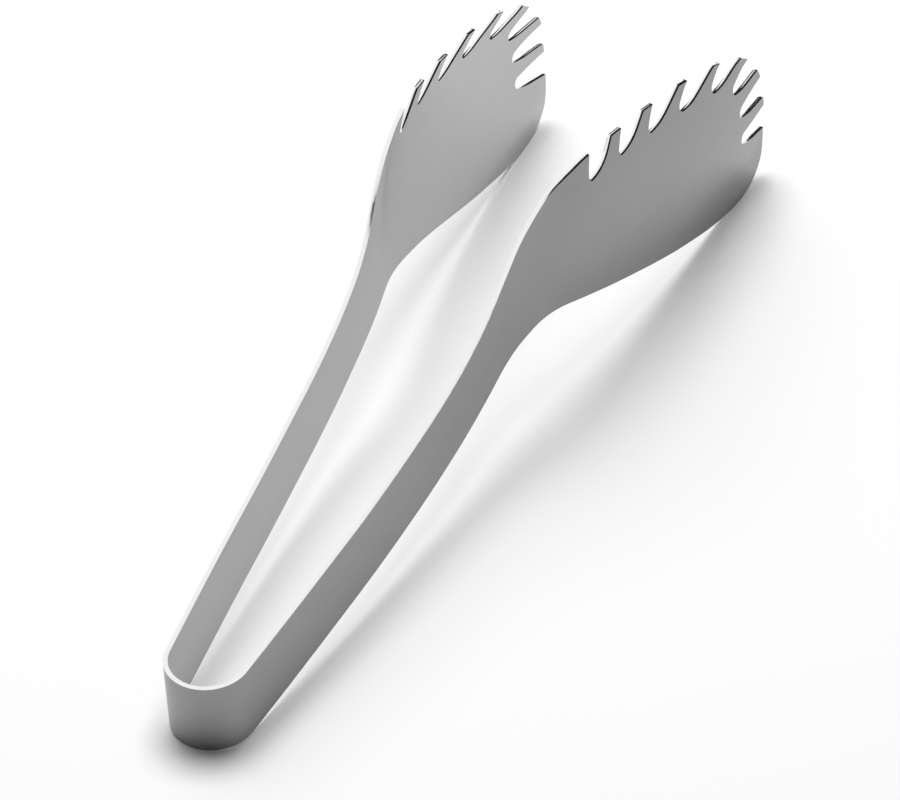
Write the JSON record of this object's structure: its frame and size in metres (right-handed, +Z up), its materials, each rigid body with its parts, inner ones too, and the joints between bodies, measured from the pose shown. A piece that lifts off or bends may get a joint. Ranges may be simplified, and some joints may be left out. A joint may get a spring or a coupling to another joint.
{
  "type": "spaghetti tongs",
  "caption": "One-piece sheet-steel pasta tongs: a narrow strip bent into a spring bow, each arm widening into a drooping dished head with claw teeth along its upper and front edge.",
  "frame": {"origin": "the bow's rear lower edge, where it rests on the table, in the plane midway between the arms", "axes": "+Y from the bow towards the heads, +Z up from the table, +X towards the right arm as seen from the bow; the tongs rest on the bow's rear corner and both heads, leaning forward by 7.2 degrees"},
  "size_m": [0.0656, 0.2799, 0.0675],
  "materials": {
    "satin_steel": "satin stainless steel, bright at the cut edges"
  },
  "bodies": {
    "bow": {"spring_bow": "satin_steel"},
    "right_side": {"right_arm": "satin_steel", "right_head": "satin_steel"},
    "left_side": {"left_arm": "satin_steel", "left_head": "satin_steel"}
  },
  "joints": [
    {"name": "right_flex", "type": "hinge", "parent": "bow", "child": "right_side", "pos_m": [0.01174, 0.03609, 0.01463], "axis": [0, -0.125, 0.9922], "range_deg": [0, 7.1], "stiffness_Nm_per_rad": 6},
    {"name": "left_flex", "type": "hinge", "parent": "bow", "child": "left_side", "pos_m": [-0.01174, 0.03609, 0.01463], "axis": [0, 0.125, -0.9922], "range_deg": [0, 7.1], "stiffness_Nm_per_rad": 6}
  ],
  "couplings": [
    {"joint": "left_flex", "follows": "right_flex", "ratio": 1}
  ]
}
